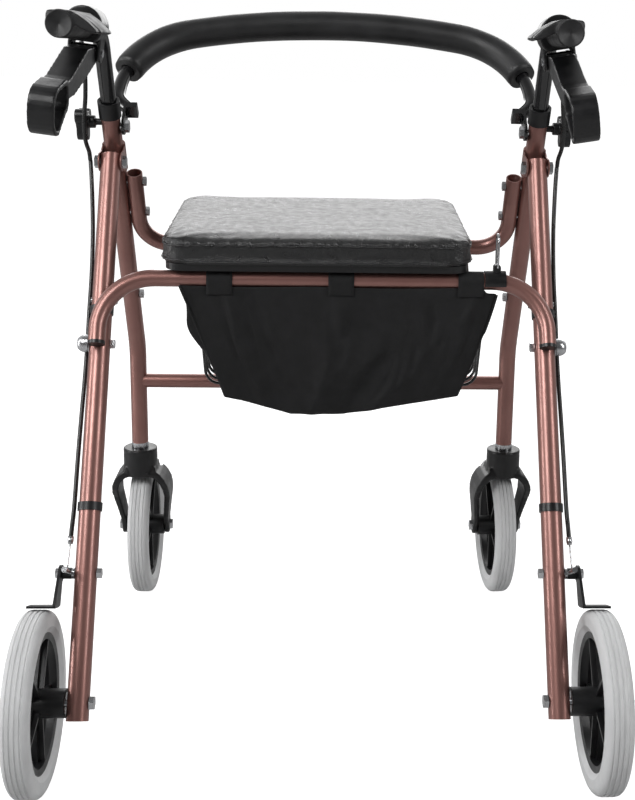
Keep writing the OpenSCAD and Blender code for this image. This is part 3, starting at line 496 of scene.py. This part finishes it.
def seat_cushion():
    obj = cushion_block()
    puff(obj)
    finer = obj.modifiers.new("finer", "SUBSURF")
    finer.levels = finer.render_levels = 2
    apply_modifiers(obj)
    wrinkle_cushion(obj)
    shade_smooth(obj)
    cushion_seams(obj)
    obj.data.transform(seat_place())
    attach(obj, "seat")
    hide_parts("seat_cushion")


def cushion_seams(pad):
    """Welted seams round the top and the bottom of the boxed side, laid on the pad's own surface."""
    place = seat_place()
    outline = rounded_rectangle(SEAT_W + 8 * MM, SEAT_D + 8 * MM, 30 * MM, 10)
    for name, height, thick in (("top", SEAT_T / 2 - 8 * MM, 1.3 * MM),
                                ("bottom", -SEAT_T / 2 + 4 * MM, 1.1 * MM)):
        loop = []
        for i, (x, y) in enumerate(outline):
            nx, ny = outline[(i + 1) % len(outline)]
            steps = max(1, int(math.hypot(nx - x, ny - y) / (5 * MM)))
            for k in range(steps):
                px, py = x + (nx - x) * k / steps, y + (ny - y) * k / steps
                found, spot, normal, face = pad.closest_point_on_mesh(Vector((px, py, height)))
                loop.append(place @ (spot + normal * 0.2 * MM))
        loop.append(loop[0])
        seam = swept("cushion_seam_" + name, loop, thick, VINYL, 10, caps=False)
        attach(seam, "seat")


# ---------------------------------------------------------------- backrest pad

BACK_X, BACK_RISE = 249 * MM, 184 * MM
ARCH_R, CORNER_R = 700 * MM, 110 * MM
BACK_SLOPE = math.radians(41.5)
PAD_R, BACK_TUBE_R = 18 * MM, 8 * MM
PAD_FROM = math.radians(20)


def backrest_line():
    """The backrest tube's middle line where the foam covers it, left end to right end."""
    arch_half = math.asin((BACK_X - CORNER_R) / (ARCH_R - CORNER_R))
    corner_s = BACK_RISE - ARCH_R + (ARCH_R - CORNER_R) * math.cos(arch_half)
    flat = []
    corner_end = math.pi / 2 - arch_half
    for k in range(15):
        a = PAD_FROM + (corner_end - PAD_FROM) * k / 14
        flat.append((BACK_X - CORNER_R + CORNER_R * math.cos(a), corner_s + CORNER_R * math.sin(a)))
    for k in range(1, 25):
        a = corner_end + arch_half * k / 24
        flat.append((ARCH_R * math.cos(a), BACK_RISE - ARCH_R + ARCH_R * math.sin(a)))
    right = flat[::-1]
    whole = [(-x, s) for x, s in flat[:-1]] + right
    origin = joint_at("backrest_tilt")
    along = Vector((0, math.cos(BACK_SLOPE), math.sin(BACK_SLOPE)))
    return [origin + Vector((x, 0, 0)) + along * s for x, s in whole]


def backrest_pad():
    """A foam sleeve with a thick wall, worn a little out of round, its open ends rounded off."""
    line = backrest_line()
    sides = 48
    ring_frames = frames_along(line)
    last = len(line) - 1
    lips = [PAD_R * share for share in (0.52, 0.80, 0.94)]
    outside = [(0, r) for r in lips] + [(i, PAD_R) for i in range(1, last)]
    outside += [(last, r) for r in reversed(lips)]
    bore = [(last, PAD_R * 0.50)] + [(i, BACK_TUBE_R + 0.3 * MM) for i in range(last - 1, 0, -1)]
    bore.append((0, PAD_R * 0.50))
    points = []
    for index, radius in outside:
        u, v = ring_frames[index]
        for out in circle(Vector((0, 0, 0)), u, v, 1, sides):
            dent = 0.5 * MM * noise.noise((line[index] + out * PAD_R) * 18)
            points.append(line[index] + out * (radius + (dent if radius == PAD_R else 0)))
    for index, radius in bore:
        points += circle(line[index], *ring_frames[index], radius, sides)
    faces = bands(len(outside) + len(bore), sides, closed=True)
    pad = mesh_object("backrest_foam", points, faces, FOAM)
    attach(pad, "backrest")
    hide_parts("backrest_pad")


# ---------------------------------------------------------------- pouch

POUCH_TOP = 502.4 * MM
CLIP_START, CLIP_DROP = 181 * MM, 6.4 * MM      # where and how far the top edge drops for the bail clip
# soft folds of the front panel: from (across, down) to (across, down), half width, height
FOLDS = [((0.13, 0.0), (0.17, 0.95), 0.020, 3.2), ((0.20, 0.05), (0.27, 0.80), 0.028, -3.6),
         ((0.37, 1.0), (0.50, 0.30), 0.030, 3.4), ((0.53, 0.95), (0.72, 0.38), 0.032, -3.2),
         ((0.62, 1.0), (0.93, 0.22), 0.030, 2.8), ((0.80, 0.15), (0.82, 0.60), 0.018, -2.4),
         ((0.48, 0.05), (0.52, 0.45), 0.030, 2.4), ((0.93, 0.05), (0.90, 0.95), 0.022, 2.6)]


def pouch_depth():
    """How deep the flat panels are, a little less than the CAD bag."""
    return (POUCH_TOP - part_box("pouch")[0].z) * 0.955


def pouch_lower_edge(x):
    """Height of the bag's lower edge at x."""
    low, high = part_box("pouch")
    deep = pouch_depth()
    spots = [(0.0, 0.84), (0.14, 0.86), (0.35, 1.0), (0.52, 1.0), (0.89, 0.85), (1.0, 0.82)]
    xs = [low.x + (high.x - low.x) * a for a, b in spots]
    return float(np.interp(x, xs, [POUCH_TOP - deep * b for a, b in spots]))


def fold_height(across, down):
    """How far the folds push the cloth out at a spot of the panel."""
    total = 0.0
    spot = Vector((across, down * 0.42))
    for start, end, half, height in FOLDS:
        a, b = Vector((start[0], start[1] * 0.42)), Vector((end[0], end[1] * 0.42))
        along = max(0.0, min(1.0, (spot - a).dot(b - a) / (b - a).length_squared))
        gap = (spot - a - (b - a) * along).length
        fading = 0.35 + 0.65 * math.sin(math.pi * min(1, along + 0.1))
        total += height * math.exp(-(gap / half) ** 2) * fading
    return total


def pouch_panel(front):
    """One panel of the bag as a grid; front is the side that faces the seat's user."""
    low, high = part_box("pouch")
    cols, rows = 96, 44
    width = high.x - low.x
    grid = []
    for i in range(rows + 1):
        t = i / rows
        bulge = 0 if front else 0.042 * math.exp(-((t - 0.42) / 0.2) ** 2)
        in_left = max(0.0, 0.14 * t - bulge) * width
        in_right = (0.075 * t + 0.04 * t * t) * width
        line = []
        for k in range(cols + 1):
            u = k / cols
            x = low.x + in_left + (width - in_left - in_right) * u
            sag = 1.2 * MM * abs(math.sin(math.pi * (u * 2.25 + 0.05))) * (1 - t)
            by_clip = max(0.0, min(1.0, (x - CLIP_START) / (3 * MM)))
            top = POUCH_TOP - sag - CLIP_DROP * by_clip
            z = top + (pouch_lower_edge(x) - top) * t
            belly = math.sin(math.pi * u) ** 0.6 * math.sin(math.pi * min(1.0, t * 0.92 + 0.04)) ** 0.8
            free = min(1.0, t * 5)
            if front:
                y = low.y + 0.5 * MM + (5 * MM * t - 5.5 * MM * belly) * free
                y -= fold_height(u, t) * MM * free * 1.7
                y += 0.8 * MM * noise.noise(Vector((x * 60 - z * 34, z * 22, 4.2))) * free
                curl = max(0.0, 1 - u / 0.07) * max(0.0, (t - 0.55) / 0.45)
                y -= 6 * MM * curl
            else:
                y = low.y + 9 * MM + 20 * MM * belly
                y += 3.0 * MM * free * noise.noise(Vector((x * 26 + z * 14, z * 9, 8.2)))
            line.append(Vector((x, y, z)))
        grid.append(line)
    return grid


def pouch_bag():
    """The bag: two panels sewn at the sides and the bottom, sagging between its loops."""
    points, faces = [], []
    panels = [pouch_panel(True), pouch_panel(False)]
    rows, cols = len(panels[0]), len(panels[0][0])
    for grid in panels:
        for line in grid:
            points += line
    size = rows * cols
    for g in range(2):
        for i in range(rows - 1):
            for k in range(cols - 1):
                a = g * size + i * cols + k
                faces.append((a, a + 1, a + cols + 1, a + cols))
    for i in range(rows - 1):
        for k in (0, cols - 1):
            a = i * cols + k
            faces.append((a, a + cols, size + a + cols, size + a))
    for k in range(cols - 1):
        a = (rows - 1) * cols + k
        faces.append((a, a + 1, size + a + 1, size + a))
    bag = mesh_object("pouch_bag", points, faces, NYLON)
    hang_bag(bag)
    cloth = bag.modifiers.new("cloth_thickness", "SOLIDIFY")
    cloth.thickness = 0.7 * MM
    finer = bag.modifiers.new("finer", "SUBSURF")
    finer.levels = finer.render_levels = 1
    apply_modifiers(bag)
    shade_smooth(bag)
    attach(bag, "pouch_bag")
    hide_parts("pouch")


def pouch_binding():
    """Folded hems along the front panel's slanting sides and lower edge."""
    grid = pouch_panel(True)
    edges = {"left": [line[0] for line in grid], "right": [line[-1] for line in grid], "low": grid[-1]}
    for name, line in edges.items():
        raised = [p + Vector((0, -0.9 * MM, 0)) for p in line]
        hem = swept("pouch_hem_" + name, raised, 1.1 * MM, NYLON, 8)
        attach(hem, "pouch_bag")


def hang_bag(bag):
    """Lets the cloth settle under its own weight, held along its top hem."""
    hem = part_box("pouch")[1].z - 2 * MM
    settled(bag, lambda p: p.z > hem, steps=18, cap=4 * MM, pressure=0.4,
            gravity=1, mass=0.15, stretch=40, squeeze=6, bend=0.05)


def webbing(line, x, width, thick):
    """A strap of some width that follows a line of (y, z) spots, its faces split into strips."""
    cols = 8
    per = 2 * (cols + 1)
    last = len(line) - 1
    points, faces = [], []
    for i, (y, z) in enumerate(line):
        y2, z2 = line[min(i + 1, last)]
        y1, z1 = line[max(i - 1, 0)]
        ty, tz = y2 - y1, z2 - z1
        length = math.hypot(ty, tz)
        ny, nz = -tz / length, ty / length
        for layer in (0, thick):
            for c in range(cols + 1):
                s = c / cols - 0.5
                crease = 0.35 * MM * noise.noise(Vector((x + s, y * 90, z * 90)))
                points.append(Vector((x + s * width, y + ny * layer + crease, z + nz * layer)))
    for i in range(last):
        for c in range(cols):
            a, b = i * per + c, (i + 1) * per + c
            faces.append((a, a + 1, b + 1, b))
            a, b = a + cols + 1, b + cols + 1
            faces.append((a, b, b + 1, a + 1))
        for c in (0, cols):
            a, b = i * per + c, (i + 1) * per + c
            faces.append((a, b, b + cols + 1, a + cols + 1))
    for i in (0, last):
        for c in range(cols):
            a = i * per + c
            faces.append((a, a + 1, a + cols + 2, a + cols + 1))
    return points, faces


def pouch_loops():
    """Webbing loops over the rear bar, each turned round it and sewn to the bag."""
    centre = joint_at("pouch_hang")
    tube_r = 9.95 * MM
    thick, width = 1.6 * MM, 29 * MM
    front = [(-tube_r - 0.1 * MM, -(3 + 13.5 * k / 8) * MM) for k in range(8, 0, -1)]
    over = [math.radians(-8 + 196 * k / 24) for k in range(25)]
    over = [(-math.cos(a) * tube_r, math.sin(a) * tube_r) for a in over]
    back = [(tube_r - 0.1 * MM, -(3 + 18 * k / 6) * MM) for k in range(1, 7)]
    for name, x in (("left", -118 * MM), ("middle", 19 * MM), ("right", 166 * MM)):
        points, faces = webbing(front + over + back, x, width, thick)
        loop = mesh_object("pouch_loop_" + name, [centre + p for p in points], faces, NYLON)
        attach(loop, "pouch_bag")
        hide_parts("pouch_straps")


# ---------------------------------------------------------------- handles

GRIP_R = 14 * MM
HANDLE_X, GRIP_Z = 252 * MM, 783 * MM
HANDLE_TURN = {"left": 3.7, "right": -3.5}
TUBE_TOP = Vector((252 * MM, 46 * MM, 683 * MM))
TUBE_AXIS = Vector((0, -math.sin(math.radians(27)), math.cos(math.radians(27))))


def handle_spot(side):
    """Turns points drawn for a straight right handle to the way this side's handle is clamped."""
    turn = Matrix.Rotation(math.radians(HANDLE_TURN[side]), 3, TUBE_AXIS)
    mirror = Vector((SIDES[side], 1, 1))
    return lambda p: (TUBE_TOP + turn @ (Vector(p) - TUBE_TOP)) * mirror


def hand_grip(side):
    """Moulded grip: a round handle whose top sweeps out into a palm rest towards the centre."""
    spot = handle_spot(side)
    low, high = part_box("hand_grip_" + side)
    y0, y1 = low.y + 1.2 * MM, high.y - 1.2 * MM
    solids = [rod((HANDLE_X, y0, GRIP_Z), (HANDLE_X, y1, GRIP_Z), GRIP_R, steps=40)]
    wing = [(-13.6, 2), (-14.4, 8), (-13, 12.4), (-9, 13.3), (2, 13.2), (11, 12.8), (20, 8.8),
            (29, 3), (37, -4), (39, -7), (34, -8.6), (22, -4), (11, 2), (0, 0)]
    cuts, wing_y0, wing_len = 6, y0 + 1.5 * MM, y1 - y0 - 12 * MM
    for cut in range(cuts):
        share = (cut + 0.5) / cuts
        reach = 0.80 + 0.20 * math.sin(math.pi * (0.2 + 0.75 * share))
        outline = [(HANDLE_X - (a * reach if a > 12 else a) * MM, GRIP_Z + b * MM) for a, b in wing]
        start = wing_y0 + wing_len * cut / cuts
        end = wing_y0 + wing_len * (cut + 1) / cuts + 0.5 * MM
        solids.append(extruded(outline, start, end, lambda a, b, t: Vector((a, t, b))))
    solids = [([spot(p) for p in points], faces) for points, faces in solids]
    grip = moulded("grip_" + side, solids, RUBBER, 1.2 * MM, 5)
    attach(grip, "handle_" + side)
    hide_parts("hand_grip_" + side)
    ring = [(0.2, 12.0), (0.2, 13.2), (-0.9, 13.9), (-1.9, 13.3), (-2.1, 12.4), (-1.2, 11.8),
            (-1.2, 2.4), (-0.6, 1.8), (-0.6, 0.2)]
    middle = spot((HANDLE_X, y0, GRIP_Z))
    ahead = spot((HANDLE_X, y0 + 10 * MM, GRIP_Z)) - middle
    cap = lathe("grip_end_" + side, [(a * MM, r * MM) for a, r in ring], middle, ahead, RUBBER)
    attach(cap, "handle_" + side)


# ---------------------------------------------------------------- cables and springs

LEG_TOP, LEG_LEAN = Vector((0, 41 * MM, 630 * MM)), math.radians(28.46)
CABLE_R, WIRE_R = 2.5 * MM, 0.9 * MM
# the routes of a right-hand cable: the upper in x, y, z; the lower in distances by the leg and x
UPPER_ROUTE = [(266, -40, 765), (268, -22, 748), (270, -4, 728), (273, 8, 704), (277, 17, 680),
               (278, 27, 656), (276, 36, 642), (276, 41, 632.3)]
LOWER_STATIONS = [(-2, 1, 276), (30, 4, 273), (80, 10, 270), (130, 14, 269), (182, 14, 269),
                  (221, 15, 269), (260, 13, 269), (300, 8, 269), (350, 3, 269), (404, 0, 269),
                  (425, 0, 270), (443, 1, 271)]


def on_leg(down, ahead, x):
    """A point by its distance down the walking leg, its distance ahead of it, and its x."""
    sine, cosine = math.sin(LEG_LEAN), math.cos(LEG_LEAN)
    return LEG_TOP + Vector((x, ahead * cosine - down * sine, -down * cosine - ahead * sine)) * MM


def ferrule(name, body, end, back):
    """The zinc cap on a jacket's end, which points away from a spot further back."""
    tip = [(-7, 2.6), (-7, 3.3), (-1.5, 3.4), (-0.5, 3.0), (1.2, 2.9), (1.6, 2.2), (1.6, 0.3)]
    cap = lathe(name, [(a * MM, r * MM) for a, r in tip], end, (end - back).normalized(), ZINC, 24)
    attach(cap, body)


def brake_cables(side):
    s = SIDES[side]
    upper = smooth_path([Vector((s * x, y, z)) * MM for x, y, z in UPPER_ROUTE], 8)
    lower = smooth_path([on_leg(down, ahead, s * x) for down, ahead, x in LOWER_STATIONS], 8)
    top = swept("cable_upper_" + side, upper, CABLE_R, JACKET, 14)
    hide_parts("upper_cables")
    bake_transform(top)
    below = swept("cable_lower_" + side, lower, CABLE_R, JACKET, 14)
    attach(below, "rear_frame")
    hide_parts("lower_cables")
    arm_low, arm_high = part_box("brake_arm_" + side)
    anchor = Vector((lower[-1].x, joint_at("brake_shoe_" + side).y - 3 * MM, arm_high.z - 2 * MM))
    wire_line = [lower[-1] + (anchor - lower[-1]) * k / 6 for k in range(7)]
    wire = swept("inner_wire_" + side, wire_line, WIRE_R, ZINC, 10)
    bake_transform(wire)
    ferrule("ferrule_low_" + side, "rear_frame", lower[-1], lower[-5])
    ferrule("ferrule_high_" + side, "handle_" + side, upper[0], upper[4])


# ---------------------------------------------------------------- camera, light and floor

def camera():
    """The photo's own viewpoint, fitted to the walker's tubes, wheels and seat."""
    data = bpy.data.cameras.new("camera")
    cam = bpy.data.objects.new("camera", data)
    bpy.context.scene.collection.objects.link(cam)
    long_side, focal_px = 800, 1222.6
    data.sensor_width = 36
    data.lens = focal_px * data.sensor_width / long_side
    data.shift_x, data.shift_y = -0.0722, -0.0875
    yaw, pitch, roll = math.radians(2.43), math.radians(12.8), math.radians(-1.06)
    ahead = Vector((math.sin(yaw) * math.cos(pitch), math.cos(yaw) * math.cos(pitch), -math.sin(pitch)))
    turn = ahead.to_track_quat("-Z", "Y").to_matrix().to_4x4()
    place = Matrix.Translation((0.0008, -1.4147, 0.7613))
    cam.matrix_world = place @ turn @ Matrix.Rotation(-roll, 4, "Z")
    bpy.context.scene.camera = cam


def area_light(name, place, target, size, power):
    """A soft rectangular lamp, out of the camera's sight."""
    data = bpy.data.lights.new(name, "AREA")
    data.shape = "RECTANGLE"
    data.size, data.size_y = size
    data.energy = power
    lamp = bpy.data.objects.new(name, data)
    lamp.location = place
    lamp.visible_camera = False
    lamp.rotation_euler = (Vector(target) - Vector(place)).to_track_quat("-Z", "Y").to_euler()
    bpy.context.scene.collection.objects.link(lamp)


def studio():
    """White backdrop behind the walker, a dim room in front of it, and long soft lamps."""
    world = bpy.data.worlds.new("studio")
    world.use_nodes = True
    tree = world.node_tree
    back = tree.nodes["Background"]
    back.inputs["Color"].default_value = (1.0, 1.0, 1.0, 1)
    path = tree.nodes.new("ShaderNodeLightPath")
    facing = tree.nodes.new("ShaderNodeSeparateXYZ")
    tree.links.new(tree.nodes.new("ShaderNodeTexCoord").outputs["Generated"], facing.inputs["Vector"])
    glow = tree.nodes.new("ShaderNodeMath")
    glow.operation = "MAXIMUM"
    tree.links.new(path.outputs["Is Camera Ray"], glow.inputs[0])
    tree.links.new(to_range(tree, facing.outputs["Y"], 0.10, 0.90, -0.1, 0.9), glow.inputs[1])
    tree.links.new(glow.outputs[0], back.inputs["Strength"])
    bpy.context.scene.world = world
    bpy.context.scene.view_settings.view_transform = "Standard"
    pale_floor()
    middle = (0, 0, 0.5)
    area_light("key", (-1.5, -1.9, 2.4), middle, (1.1, 1.5), 46)
    area_light("fill", (1.9, -1.2, 1.6), middle, (0.5, 1.8), 20)
    area_light("left_strip", (-2.1, -0.3, 1.0), middle, (0.35, 2.2), 22)
    area_light("rim", (0.3, 2.6, 1.5), middle, (3.2, 1.3), 28)


def pale_floor():
    """A floor that looks as pale as the backdrop, but throws less light on the walker."""
    mesh = bpy.data.meshes.new("floor")
    reach = 30
    mesh.from_pydata([(-reach, -reach, 0), (reach, -reach, 0), (reach, reach, 0), (-reach, reach, 0)],
                     [], [(0, 1, 2, 3)])
    floor = bpy.data.objects.new("floor", mesh)
    bpy.context.scene.collection.objects.link(floor)
    pale, tree, shader = new_material("pale_floor", (0.45, 0.45, 0.45), 0.8)
    path = tree.nodes.new("ShaderNodeLightPath")
    shader.inputs["Emission Color"].default_value = (1, 1, 1, 1)
    glow = to_range(tree, path.outputs["Is Camera Ray"], 0.0, 0.92)
    tree.links.new(glow, shader.inputs["Emission Strength"])
    mesh.materials.append(pale)


# ---------------------------------------------------------------- the whole walker

for node in ("caster_fork_left", "caster_fork_right"):
    melted(node, 1.3 * MM, 6)
for node in ("height_knob_left", "height_knob_right"):
    melted(node, 0.9 * MM, 3)
for node in ("brake_lever_left", "brake_lever_right", "brake_housing_left", "brake_housing_right"):
    melted(node, 1.0 * MM, 4)
camera()
studio()
seat_cushion()
backrest_pad()
pouch_bag()
pouch_binding()
pouch_loops()
for side in SIDES:
    hand_grip(side)
    brake_cables(side)
